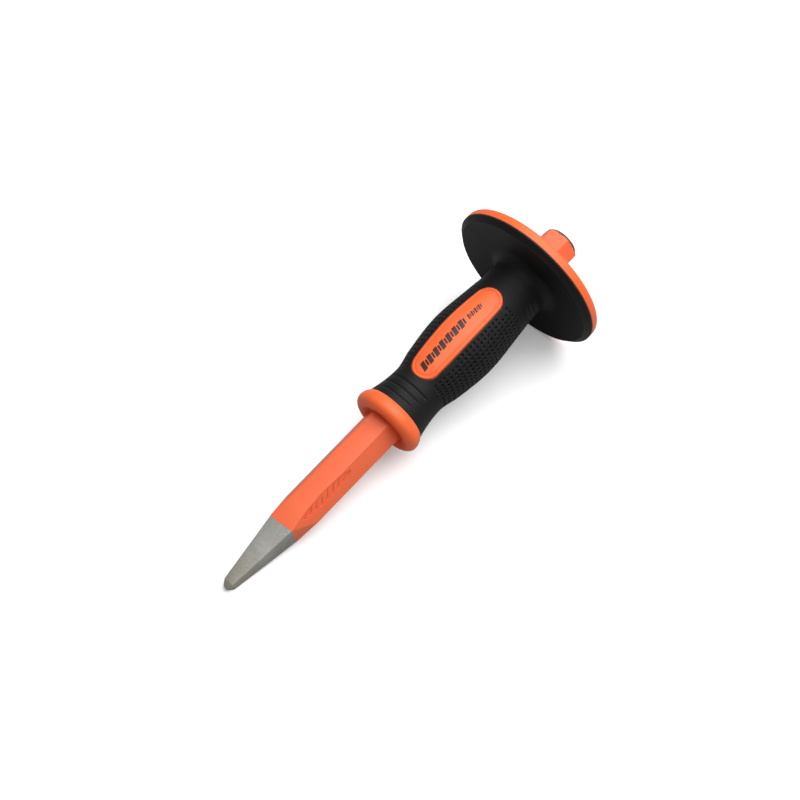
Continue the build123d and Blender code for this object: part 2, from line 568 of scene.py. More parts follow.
@dataclass
class ForgedBar:
    """The steel bar: point, forged blend, hexagonal shank with a stamp, and struck head."""

    tip_side: float = 2.4 * MM
    bevel_length: float = 2.9 * MM
    bevel_side: float = 5.8 * MM
    taper_end: float = 41.0 * MM
    taper_side: float = 14.2 * MM
    blend_length: float = 13.5 * MM
    chamfer_length: float = 2.6 * MM
    chamfer_depth: float = 2.5 * MM
    edge_round: float = 0.35 * MM
    edge_segments: int = 3
    rounded_from: float = 12.0
    gauge_sides: int = 96
    shading_angle: float = 30.0
    stamp_start: float = 48.5 * MM
    stamp_end: float = 84.0 * MM
    stamp_half_width: float = 2.9 * MM
    stamp_offset: float = 2.7 * MM
    stamp_depth: float = 0.5 * MM
    stamp_clearance: float = 2.0 * MM
    stamp_fullness: float = 0.6
    stamp_points: int = 24
    stamp_bars: int = 8
    bar_lean: float = 1.2 * MM
    bar_half_width: float = 0.75 * MM
    bar_reach: float = 0.6
    bar_sunk: float = 0.1 * MM

    def _hexagon(self, x: float) -> list[Vector]:
        """Corners of the shank at a place along it, with flats facing up and down.

        Args:
            x: Place along the bar.

        Returns:
            The six corners in order.
        """
        ring = []
        for corner in range(6):
            angle = math.radians(60 * corner)
            across = Vector((0, math.cos(angle), math.sin(angle))) * SIZES.hex_radius
            ring.append(Vector((x, 0, 0)) + across)
        return ring

    def _square(self, x: float, side: float) -> list[Vector]:
        """Corners of the point, with the middles of its two upright sides between them.

        Args:
            x: Place along the bar.
            side: Side of the square.

        Returns:
            Six points in order, two of them in the middle of a side.
        """
        h = side / 2
        corners = ((h, 0), (h, h), (-h, h), (-h, 0), (-h, -h), (h, -h))
        return [Vector((x, y, z)) for y, z in corners]

    def _forging(self) -> bpy.types.Object:
        """The bar from its point to its head, before the head is turned.

        Returns:
            The closed bar, longer than it ends up.
        """
        shape = DrawnShape("forged_bar", self._square(0, self.tip_side))
        shape.cap()
        shape.draw_to(self._square(self.bevel_length, self.bevel_side))
        shape.draw_to(self._square(self.taper_end, self.taper_side))
        blend_end = self.taper_end + self.blend_length
        shape.draw_to(self._hexagon(blend_end))
        shape.draw_to(self._hexagon(SIZES.length + self.chamfer_length))
        shape.cap()
        close_up(shape.piece)
        return shape.piece

    def _fold_blend(self, bar: bpy.types.Object) -> None:
        """Fold the forged blend from the square's corners to the sides of the hexagon.

        Args:
            bar: The bar.
        """
        middle = self.taper_end + self.blend_length / 2
        edit(bar)
        select_faces(
            bar,
            lambda c: abs(c.x - middle) < self.blend_length / 3 and abs(c.y) > self.bevel_side / 2,
        )
        bpy.ops.mesh.quads_convert_to_tris(quad_method="SHORTEST_DIAGONAL")
        clear_selection()

    def _head_gauge(self) -> bpy.types.Object:
        """A turned envelope that leaves the head its conical chamfer.

        Returns:
            The closed envelope, wider than the bar all along but for its head.
        """
        wide = 2 * SIZES.hex_radius
        face = SIZES.hex_radius - self.chamfer_depth
        cone = (wide - face) * self.chamfer_length / self.chamfer_depth
        shape = DrawnShape("head_gauge", circle(Station(-wide, wide), self.gauge_sides))
        shape.cap()
        for station in (Station(SIZES.length - cone, wide), Station(SIZES.length, face)):
            shape.draw_to(circle(station, self.gauge_sides))
        shape.cap()
        bpy.ops.mesh.bevel(
            offset=self.edge_round, segments=self.edge_segments, affect="EDGES"
        )
        close_up(shape.piece)
        return shape.piece

    def _on_side(self, x: float, across: float, height: float) -> Vector:
        """A place over the shank's side face that the stamp is on.

        Args:
            x: Place along the bar.
            across: Place across the face, towards the edge of the upper face.
            height: Height over the face.

        Returns:
            The place in the tool's own frame.
        """
        tilt = math.radians(60)
        out = Vector((0, -math.sin(tilt), math.cos(tilt)))
        up = Vector((0, math.cos(tilt), math.sin(tilt)))
        return Vector((x, 0, 0)) + out * (SIZES.hex_flats / 2 + height) + up * across

    def _stamp_hollow(self) -> bpy.types.Object:
        """The pointed oval that the forging stamp leaves, as a solid to cut with.

        Returns:
            The closed solid.
        """
        plan = []
        for side in (1, -1):
            for step in range(self.stamp_points):
                along = step if side > 0 else self.stamp_points - step
                share = along / self.stamp_points
                x = self.stamp_start + (self.stamp_end - self.stamp_start) * share
                swell = math.sin(math.pi * share) ** self.stamp_fullness
                reach = self.stamp_half_width * swell
                plan.append((x, self.stamp_offset + side * reach))
        shape = DrawnShape("stamp_hollow", [self._on_side(*p, -self.stamp_depth) for p in plan])
        shape.cap()
        shape.draw_to([self._on_side(*p, self.stamp_clearance) for p in plan])
        shape.cap()
        close_up(shape.piece)
        return shape.piece

    def _stamp_bar(self, number: int) -> bpy.types.Object:
        """One slanted raised bar in the stamp.

        Args:
            number: Number of the bar, from 0 at the end near the point.

        Returns:
            The closed solid.
        """
        share = (number + 1) / (self.stamp_bars + 1)
        x = self.stamp_start + (self.stamp_end - self.stamp_start) * share
        reach = self.bar_reach * self.stamp_half_width * math.sin(math.pi * share)
        lean, half = self.bar_lean, self.bar_half_width
        plan = (
            (x - lean - half, self.stamp_offset - reach),
            (x - lean + half, self.stamp_offset - reach),
            (x + lean + half, self.stamp_offset + reach),
            (x + lean - half, self.stamp_offset + reach),
        )
        rings = []
        for height in (-2 * self.stamp_depth, -self.bar_sunk):
            rings.append([self._on_side(*place, height) for place in plan])
        shape = DrawnShape("stamp_bar", rings[0])
        shape.cap()
        shape.draw_to(rings[1])
        shape.cap()
        close_up(shape.piece)
        return shape.piece

    def build(self) -> bpy.types.Object:
        """Model the bar and lay it down.

        Returns:
            The finished bar.
        """
        bar = self._forging()
        self._fold_blend(bar)
        worn = bar.modifiers.new("rounded_edges", "BEVEL")
        worn.width = self.edge_round
        worn.segments = self.edge_segments
        worn.limit_method = "ANGLE"
        worn.angle_limit = math.radians(self.rounded_from)
        finish_modifiers(bar)
        combine(bar, self._head_gauge(), Cut.KEEP_COMMON)
        combine(bar, self._stamp_hollow(), Cut.TAKE_AWAY)
        for number in range(self.stamp_bars):
            combine(bar, self._stamp_bar(number), Cut.ADD)
        close_up(bar)
        smooth(bar, self.shading_angle)
        lay_down(bar)
        return bar


# -------------------------------------------------------------------- the hard moulding


@dataclass
class HardCore:
    """The hard moulding: front collar, hidden sleeve, label pad and guard backing."""

    collar_length: float = 9.1 * MM
    collar_wall: float = 6.53 * MM
    collar_bead: float = 4.0 * MM
    dish_depth: float = 2.2 * MM
    split_round: float = 0.3 * MM
    backing_round: float = 2.6 * MM
    hub_wall: float = 3.43 * MM
    hub_height: float = 1.4 * MM
    pad_proud: float = 0.35 * MM
    pad_round: float = 0.5 * MM
    pad_foot: float = 9.7 * MM
    line_inset: float = 1.5 * MM
    line_width: float = 0.5 * MM
    line_depth: float = 0.18 * MM
    curl_steps: int = 8
    bead_steps: int = 12
    rim_steps: int = 10
    back_rings: int = 4
    pad_edge_steps: int = 3
    face_rings: int = 5
    sides: int = 128
    shading_angle: float = 35.0

    def _collar(self) -> list[Station]:
        """Stations of the collar, from the bar round the bead to the rubber.

        Returns:
            The stations in order.
        """
        start = SIZES.collar_end - self.collar_length
        crest = start + self.collar_bead
        crest_radius = SIZES.sleeve_radius + self.collar_wall
        nose_radius = crest_radius - self.collar_bead
        drop = nose_radius - SIZES.hex_radius
        curl = (drop**2 + self.dish_depth**2) / (2 * self.dish_depth)
        curl_turn = math.degrees(math.asin(drop / curl))
        back = SIZES.collar_end - crest
        fall = self.collar_wall - GRIP.root[1]
        shoulder = (back**2 + fall**2) / (2 * fall)
        shoulder_turn = math.degrees(math.asin(back / shoulder))
        inner_centre = (start + curl, nose_radius)
        rear_centre = (crest, crest_radius - shoulder)
        inner = arc(inner_centre, curl, 180 + curl_turn, 180, self.curl_steps)
        bead = arc((crest, nose_radius), self.collar_bead, 180, 90, self.bead_steps)
        rear = arc(rear_centre, shoulder, 90, 90 - shoulder_turn, self.curl_steps)
        return inner + bead[1:] + rear[1:]

    def _backing(self) -> list[Station]:
        """Stations of the guard's hard half, from the rubber round to the bar.

        Returns:
            The stations in order.
        """
        rim = SIZES.guard_radius
        edge = (SIZES.guard_back - self.backing_round, rim - self.backing_round)
        hub = SIZES.sleeve_radius + self.hub_wall
        foot = Station(SIZES.guard_back, hub)
        top = SIZES.guard_back + self.hub_height
        return [
            Station(SIZES.guard_split, SIZES.sleeve_radius),
            Station(SIZES.guard_split, rim - self.split_round),
            Station(SIZES.guard_split + self.split_round, rim),
            *arc(edge, self.backing_round, 90, 0, self.rim_steps),
            *spread(Station(SIZES.guard_back, edge[1]), foot, self.back_rings),
            foot,
            Station(top, hub - self.hub_height),
            Station(top, SIZES.hex_flats * BORE_SHARE),
        ]

    def _turned_part(self) -> bpy.types.Object:
        """The collar, the sleeve and the guard backing in one turned solid.

        Returns:
            The closed solid, with a round bore.
        """
        collar = self._collar()
        mouth = Station(collar[0].x, SIZES.hex_flats * BORE_SHARE)
        sleeve = Station(SIZES.collar_end, SIZES.sleeve_radius)
        outline = [mouth, *collar, sleeve, *self._backing()]
        return turned_solid("hard_core", self.sides, outline)

    def _face_ring(self, inset: float, sunk: float) -> list[Vector]:
        """Points on the pad's face, at one inset from its outline.

        Args:
            inset: Distance from the outline of the pad.
            sunk: Depth under the face.

        Returns:
            The points in order.
        """
        ring = []
        for x, y in PAD.points(1 - inset / PAD.end_radius):
            reach = GRIP.radius(x) + self.pad_proud - sunk
            ring.append(Vector((x, y, math.sqrt(reach**2 - y**2))))
        return ring

    def _pad(self) -> bpy.types.Object:
        """The pad: walls, a rounded edge, a fine line inside its rim and a crowned face.

        Returns:
            The closed solid.
        """
        shape = DrawnShape("pad", [Vector((x, y, self.pad_foot)) for x, y in PAD.points(1)])
        shape.cap()
        edge = self.pad_round
        for step in range(self.pad_edge_steps + 1):
            turn = math.pi / 2 * step / self.pad_edge_steps
            inset = edge * (1 - math.cos(turn))
            shape.draw_to(self._face_ring(inset, edge * (1 - math.sin(turn))))
        half = self.line_width / 2
        for step, sunk in ((-half, 0), (0, self.line_depth), (half, 0)):
            shape.draw_to(self._face_ring(self.line_inset + step, sunk))
        inner = self.line_inset + half
        for step in range(1, self.face_rings + 1):
            share = step / self.face_rings
            shape.draw_to(self._face_ring(inner + (PAD.end_radius - inner) * share, 0))
        close_up(shape.piece, 0.01 * MM)
        return shape.piece

    def _bore(self) -> bpy.types.Object:
        """The hexagon that the bar fills.

        Returns:
            The closed solid, longer than the tool.
        """
        clear_selection()
        bpy.ops.mesh.primitive_cylinder_add(
            vertices=6,
            radius=SIZES.hex_radius,
            depth=2 * SIZES.length,
            rotation=(0, math.pi / 2, 0),
        )
        return take_new("bore")

    def build(self) -> bpy.types.Object:
        """Model the moulding and lay it down.

        Returns:
            The finished moulding.
        """
        core = self._turned_part()
        combine(core, self._pad(), Cut.ADD)
        combine(core, self._bore(), Cut.TAKE_AWAY)
        close_up(core)
        smooth(core, self.shading_angle)
        lay_down(core)
        return core


# -------------------------------------------------------------------- the rubber moulding


@dataclass(frozen=True)
class Groove:
    """A short groove round part of the rubber: a step down and a slow rise behind it."""

    place: float
    depth: float
    middle: float
    half_span: float
    fade: float = 9.0

    def depth_at(self, angle: float) -> float:
        """Depth of the groove at an angle round the grip, in degrees from the pad.

        Args:
            angle: Angle from the middle of the pad.

        Returns:
            The depth, 0 past the ends of the groove.
        """
        past = abs(angle) - self.middle
        share = (self.half_span + self.fade / 2 - abs(past)) / self.fade
        return self.depth * min(max(share, 0.0), 1.0)


@dataclass
class RubberGrip:
    """The rubber moulded over the core: neck, dimpled belly, waist and guard face."""

    sides: int = 48
    cell: float = 2.9 * MM
    cells: int = 20
    dimples_start: float = 142.0 * MM
    first_row: int = 4
    rows: int = 11
    dimple_edge: float = 0.26 * MM
    dimple_wall: float = 0.26 * MM
    dimple_depth: float = 1.0 * MM
    dimple_crease: float = 0.5
    after_dimples: float = 2.4 * MM
    first_ring: float = 1.6 * MM
    groove_front: float = 0.4 * MM
    neck_swell: tuple[float, float] = (1.3 * MM, 2.8 * MM)
    waist_swell: float = 1.2 * MM
    flare: float = 5.5 * MM
    flare_steps: int = 5
    face_rings: int = 3
    rounding_levels: int = 2
    shading_angle: float = 40.0
    rim_bevel: float = 3.0 * MM
    rim_land: float = 0.6 * MM
    window_gap: float = 0.4 * MM
    neck_grooves: tuple[Groove, ...] = (
        Groove(126.3 * MM, 0.6 * MM, 0.0, 34.0),
        Groove(130.7 * MM, 0.6 * MM, 0.0, 41.0),
        Groove(135.2 * MM, 0.6 * MM, 0.0, 48.0),
    )
    waist_grooves: tuple[Groove, ...] = (
        Groove(207.3 * MM, 0.5 * MM, 76.0, 15.0),
        Groove(210.3 * MM, 0.5 * MM, 79.0, 18.0),
        Groove(213.3 * MM, 0.5 * MM, 82.0, 15.0),
    )

    def _along(self, x: float) -> Station:
        """The station on the grip's outside at a place along it."""
        return Station(x, GRIP.radius(x))

    def _outline(self) -> list[Station]:
        """Stations from the collar along the hand, over the guard and back in the bore.

        Returns:
            The stations, all the way round.
        """
        start = SIZES.collar_end
        places = []
        for groove in self.neck_grooves:
            step = groove.place
            places += [step - self.groove_front, step]
            places += [step + swell for swell in self.neck_swell]
        gap = self.dimples_start - places[-1]
        places += [places[-1] + gap / 2]
        places += [self.dimples_start + self.cell * n for n in range(self.cells + 1)]
        places += [places[-1] + self.after_dimples]
        for groove in self.waist_grooves:
            step = groove.place
            places += [step - self.groove_front, step, step + self.waist_swell]
        face = SIZES.guard_front + SIZES.guard_dish
        waist = GRIP.radius(face)
        centre = (face - self.flare, waist + self.flare)
        flare = arc(centre, self.flare, -90, 0, self.flare_steps)
        lip = Station(SIZES.guard_front, SIZES.guard_radius - self.rim_bevel, True)
        return [
            Station(start, GRIP.radius(start), True),
            self._along(start + self.first_ring),
            *[self._along(x) for x in places],
            *flare,
            *spread(flare[-1], lip, self.face_rings),
            lip,
            Station(SIZES.guard_split - self.rim_land, SIZES.guard_radius, True),
            Station(SIZES.guard_split, SIZES.guard_radius, True),
            Station(SIZES.guard_split, SIZES.sleeve_radius, True),
            Station(start, SIZES.sleeve_radius, True),
        ]

    def _true_to_size(self, station: Station) -> Station:
        """Widen a ring by what the subdivision surface takes off it."""
        loss = (2 + math.cos(2 * math.pi / self.sides)) / 3
        return Station(station.x, station.radius / loss, station.sharp)

    def _press_grooves(self, grip: bpy.types.Object) -> None:
        """Press the short grooves into the neck and the waist.

        Args:
            grip: The turned rubber.
        """
        mesh = edit(grip)
        for groove in (*self.neck_grooves, *self.waist_grooves):
            for vertex in mesh.verts:
                across = Vector((0, vertex.co.y, vertex.co.z))
                outside = across.length > SIZES.sleeve_radius + MM
                if outside and abs(vertex.co.x - groove.place) < 0.1 * MM:
                    angle = math.degrees(math.atan2(vertex.co.y, vertex.co.z))
                    vertex.co -= across.normalized() * groove.depth_at(angle)
        bmesh.update_edit_mesh(grip.data)
        clear_selection()

    def _in_dimples(self, middle: Vector) -> bool:
        """Whether a face of the grip is one of the dimpled cells, clear of the pad.

        Args:
            middle: Middle of the face.

        Returns:
            True for a cell that gets a dimple.
        """
        clear = middle.z < 0 or PAD.clearance(middle.x, middle.y) > self.cell / 2
        length = self.cell * self.cells
        row = math.degrees(abs(math.atan2(middle.y, middle.z))) * self.sides / 360
        along = middle.x - self.dimples_start
        outside = math.hypot(middle.y, middle.z) > SIZES.sleeve_radius + MM
        in_rows = self.first_row < row < self.first_row + self.rows
        return outside and clear and 0 < along < length and in_rows

    def _press_dimples(self, grip: bpy.types.Object) -> None:
        """Press one dimple into each cell beside the pad.

        Args:
            grip: The turned rubber.
        """
        edit(grip)
        count = select_faces(grip, self._in_dimples)
        bpy.ops.mesh.inset(thickness=self.dimple_edge, use_individual=True)
        bpy.ops.mesh.inset(
            thickness=self.dimple_wall, depth=-self.dimple_depth, use_individual=True
        )
        bpy.ops.transform.edge_crease(value=self.dimple_crease)
        clear_selection()
        LOG.info("%d dimples", count)

    def build(self) -> bpy.types.Object:
        """Model the rubber and lay it down.

        Returns:
            The finished rubber.
        """
        outline = [self._true_to_size(station) for station in self._outline()]
        grip = turned_solid("rubber_grip", self.sides, outline)
        self._press_grooves(grip)
        self._press_dimples(grip)
        subdivide(grip, self.rounding_levels)
        window = plan_column("window", PAD.points(1, self.window_gap), 0, 2 * SIZES.hex_flats)
        combine(grip, window, Cut.TAKE_AWAY)
        close_up(grip)
        smooth(grip, self.shading_angle)
        lay_down(grip)
        return grip


# ------------------------------------------------------------------------------ finishes


class Wiring:
    """Places nodes in a material or a group and joins their sockets."""

    def __init__(self, tree: bpy.types.NodeTree) -> None:
        """Work in one node tree."""
        self.tree = tree

    def add(self, kind: str, **settings: object) -> bpy.types.Node:
        """Add a node and give it its settings.

        Args:
            kind: Type name of the node.
            **settings: Names and values of its settings.

        Returns:
            The node.
        """
        node = self.tree.nodes.new(kind)
        for name, value in settings.items():
            setattr(node, name, value)
        return node

    def join(self, source: bpy.types.NodeSocket, target: bpy.types.NodeSocket) -> None:
        """Join two sockets."""
        self.tree.links.new(source, target)

    def feed(self, target: bpy.types.NodeSocket, value: object) -> None:
        """Join a socket to another, or set it to a plain value.

        Args:
            target: The socket to fill.
            value: A socket, a number, a colour or a vector.
        """
        if isinstance(value, bpy.types.NodeSocket):
            self.join(value, target)
        elif isinstance(value, tuple) and len(value) == 3 and target.type == "RGBA":
            target.default_value = (*value, 1.0)
        else:
            target.default_value = value

    def math(self, operation: str, *values: object, clamp: bool = False) -> bpy.types.NodeSocket:
        """A Math node on sockets or numbers.

        Args:
            operation: Name of the operation.
            *values: Sockets or numbers, in order.
            clamp: Whether the result is kept between 0 and 1.

        Returns:
            The result.
        """
        node = self.add("ShaderNodeMath", operation=operation, use_clamp=clamp)
        for socket, value in zip(node.inputs, values):
            self.feed(socket, value)
        return node.outputs[0]

    def step(self, value: object, start: float, end: float) -> bpy.types.NodeSocket:
        """A smooth step from 0 to 1 as a value goes from start to end.

        Args:
            value: The value.
            start: Where the step starts.
            end: Where it ends.

        Returns:
            The step.
        """
        node = self.add("ShaderNodeMapRange", interpolation_type="SMOOTHSTEP")
        self.feed(node.inputs["Value"], value)
        node.inputs["From Min"].default_value = start
        node.inputs["From Max"].default_value = end
        return node.outputs["Result"]

    def scaled(self, value: object, low: float, high: float) -> bpy.types.NodeSocket:
        """A value from 0 to 1 spread between two others.

        Args:
            value: A value from 0 to 1.
            low: Result at 0.
            high: Result at 1.

        Returns:
            The result.
        """
        node = self.add("ShaderNodeMapRange")
        self.feed(node.inputs["Value"], value)
        node.inputs["To Min"].default_value = low
        node.inputs["To Max"].default_value = high
        return node.outputs["Result"]

    def mix(self, share: object, first: object, second: object) -> bpy.types.NodeSocket:
        """A mix of two colours.

        Args:
            share: Share of the second colour.
            first: Colour at 0.
            second: Colour at 1.

        Returns:
            The mixed colour.
        """
        node = self.add("ShaderNodeMix", data_type="RGBA")
        self.feed(node.inputs["Factor"], share)
        self.feed(node.inputs[6], first)
        self.feed(node.inputs[7], second)
        return node.outputs[2]

    def noise(self, vector: object, scale: float, detail: float) -> bpy.types.NodeSocket:
        """A noise value over the surface.

        Args:
            vector: Place on the surface.
            scale: Patches for each unit of length.
            detail: Number of finer layers.

        Returns:
            The value, round 0.5.
        """
        node = self.add("ShaderNodeTexNoise")
        self.feed(node.inputs["Vector"], vector)
        node.inputs["Scale"].default_value = scale
        node.inputs["Detail"].default_value = detail
        return node.outputs["Fac"]

    def bump(self, height: object, distance: float, strength: float = 1.0) -> bpy.types.NodeSocket:
        """A normal from a height over the surface.

        Args:
            height: The height.
            distance: Real height of a value of 1.
            strength: Share of the bump that shows.

        Returns:
            The normal.
        """
        node = self.add("ShaderNodeBump")
        node.inputs["Distance"].default_value = distance
        node.inputs["Strength"].default_value = strength
        self.feed(node.inputs["Height"], height)
        return node.outputs["Normal"]


class EffectGroups:
    """Shader node groups that more than one finish uses, each built once.

    The scales of their patterns are patches for each millimetre.
    """

    LARGE_PATCHES = 0.06
    SMALL_PATCHES = 0.55
    GRAIN = 3.2
    RIPPLE = 0.35
    EDGE_PATCHES = 1.4

    def __init__(self) -> None:
        """Build every group."""
        self.tool_place = self._tool_place()
        self.mottle = self._mottle()
        self.moulded_grain = self._moulded_grain()
        self.edge_wear_and_highlight = self._edge_wear_and_highlight()

    @staticmethod
    def _new(name: str, inputs: dict[str, str], outputs: dict[str, str]) -> tuple:
        """An empty group with named sockets.

        Args:
            name: Name of the group.
            inputs: Socket name to the last part of its socket type.
            outputs: The same for what it puts out.

        Returns:
            The group, its wiring, its input node and its output node.
        """
        group = bpy.data.node_groups.new(name, "ShaderNodeTree")
        for sockets, way in ((inputs, "INPUT"), (outputs, "OUTPUT")):
            for socket, kind in sockets.items():
                group.interface.new_socket(socket, in_out=way, socket_type="NodeSocket" + kind)
        wiring = Wiring(group)
        return group, wiring, wiring.add("NodeGroupInput"), wiring.add("NodeGroupOutput")

    def _tool_place(self) -> bpy.types.NodeTree:
        """Place in the tool's own frame, in millimetres.

        Returns:
            The group, which puts out Place.
        """
        group, w, _, out = self._new("tool_place", {}, {"Place": "Vector"})
        coordinates = w.add("ShaderNodeTexCoord")
        back = LAID.matrix().inverted()
        mapping = w.add("ShaderNodeMapping", vector_type="POINT")
        mapping.inputs["Location"].default_value = back.translation
        mapping.inputs["Rotation"].default_value = back.to_euler()
        w.join(coordinates.outputs["Object"], mapping.inputs["Vector"])
        scale = w.add("ShaderNodeVectorMath", operation="SCALE")
        scale.inputs["Scale"].default_value = 1 / MM
        w.join(mapping.outputs["Vector"], scale.inputs[0])
        w.join(scale.outputs["Vector"], out.inputs["Place"])
        return group

    def _mottle(self) -> bpy.types.NodeTree:
        """A colour that drifts a little over the surface, in large and small patches.

        Returns:
            The group, which puts out Colour and Patches.
        """
        inputs = {"Place": "Vector", "Colour": "Color", "Amount": "Float"}
        group, w, given, out = self._new("mottle", inputs, {"Colour": "Color", "Patches": "Float"})
        large = w.noise(given.outputs["Place"], self.LARGE_PATCHES, 2.0)
        small = w.noise(given.outputs["Place"], self.SMALL_PATCHES, 4.0)
        both = w.math("ADD", w.math("MULTIPLY", large, 0.6), w.math("MULTIPLY", small, 0.4))
        shift = w.math("SUBTRACT", both, 0.5)
        value = w.math("MULTIPLY_ADD", shift, given.outputs["Amount"], 1.0)
        hue = w.add("ShaderNodeHueSaturation")
        w.join(given.outputs["Colour"], hue.inputs["Color"])
        w.join(value, hue.inputs["Value"])
        w.join(hue.outputs["Color"], out.inputs["Colour"])
        w.join(both, out.inputs["Patches"])
        return group

    def _moulded_grain(self) -> bpy.types.NodeTree:
        """Height of a fine grain with a slow ripple under it.

        Returns:
            The group, which puts out Height.
        """
        inputs = {"Place": "Vector", "Grain": "Float", "Ripple": "Float"}
        group, w, given, out = self._new("moulded_grain", inputs, {"Height": "Float"})
        grain = w.noise(given.outputs["Place"], self.GRAIN, 3.0)
        ripple = w.noise(given.outputs["Place"], self.RIPPLE, 1.0)
        fine = w.math("MULTIPLY", grain, given.outputs["Grain"])
        slow = w.math("MULTIPLY", ripple, given.outputs["Ripple"])
        w.join(w.math("ADD", fine, slow), out.inputs["Height"])
        return group

    def _edge_wear_and_highlight(self) -> bpy.types.NodeTree:
        """A mask of the edges, broken up by noise.

        Returns:
            The group, which puts out Mask.
        """
        inputs = {"Place": "Vector", "Radius": "Float", "Broken": "Float"}
        group, w, given, out = self._new("edge_wear_and_highlight", inputs, {"Mask": "Float"})
        rounded = w.add("ShaderNodeBevel", samples=4)
        w.join(given.outputs["Radius"], rounded.inputs["Radius"])
        true = w.add("ShaderNodeNewGeometry")
        dot = w.add("ShaderNodeVectorMath", operation="DOT_PRODUCT")
        w.join(rounded.outputs["Normal"], dot.inputs[0])
        w.join(true.outputs["Normal"], dot.inputs[1])
        turned = w.step(w.math("SUBTRACT", 1.0, dot.outputs["Value"]), 0.01, 0.12)
        patches = w.noise(given.outputs["Place"], self.EDGE_PATCHES, 4.0)
        noise = w.step(patches, 0.35, 0.65)
        broken = w.math("MULTIPLY", noise, given.outputs["Broken"])
        w.join(w.math("SUBTRACT", turned, broken, clamp=True), out.inputs["Mask"])
        return group


@dataclass(frozen=True)
class Finish:
    """What every finish has: name, gloss, drift of its colour and height of its grain."""

    name: str
    roughness: float
    sheen_level: float
    drift: float
    grain: float
    ripple: float
    relief: float

    def _start(self) -> tuple[bpy.types.Material, Wiring, bpy.types.Node]:
        """A material with its shader, ready to be wired.

        Returns:
            The material, its wiring and its shader node.
        """
        material = bpy.data.materials.new(self.name)
        material.use_nodes = True
        wiring = Wiring(material.node_tree)
        return material, wiring, material.node_tree.nodes["Principled BSDF"]

    @staticmethod
    def _group(wiring: Wiring, group: bpy.types.NodeTree, **values: object) -> bpy.types.Node:
        """Place a shared group, with values for its inputs.

        Args:
            wiring: Wiring of the material.
            group: The shared group.
            **values: Values or sockets for its inputs.

        Returns:
            The group node.
        """
        node = wiring.add("ShaderNodeGroup", node_tree=group)
        for name, value in values.items():
            wiring.feed(node.inputs[name], value)
        return node

    def _grain(
        self, w: Wiring, effects: EffectGroups, place: bpy.types.NodeSocket
    ) -> bpy.types.NodeSocket:
        """Height of this finish's own grain.

        Args:
            w: Wiring of the material.
            effects: The shared groups.
            place: Place in the tool's own frame, in millimetres.

        Returns:
            The height.
        """
        heights = {"Place": place, "Grain": self.grain, "Ripple": self.ripple}
        return self._group(w, effects.moulded_grain, **heights).outputs["Height"]


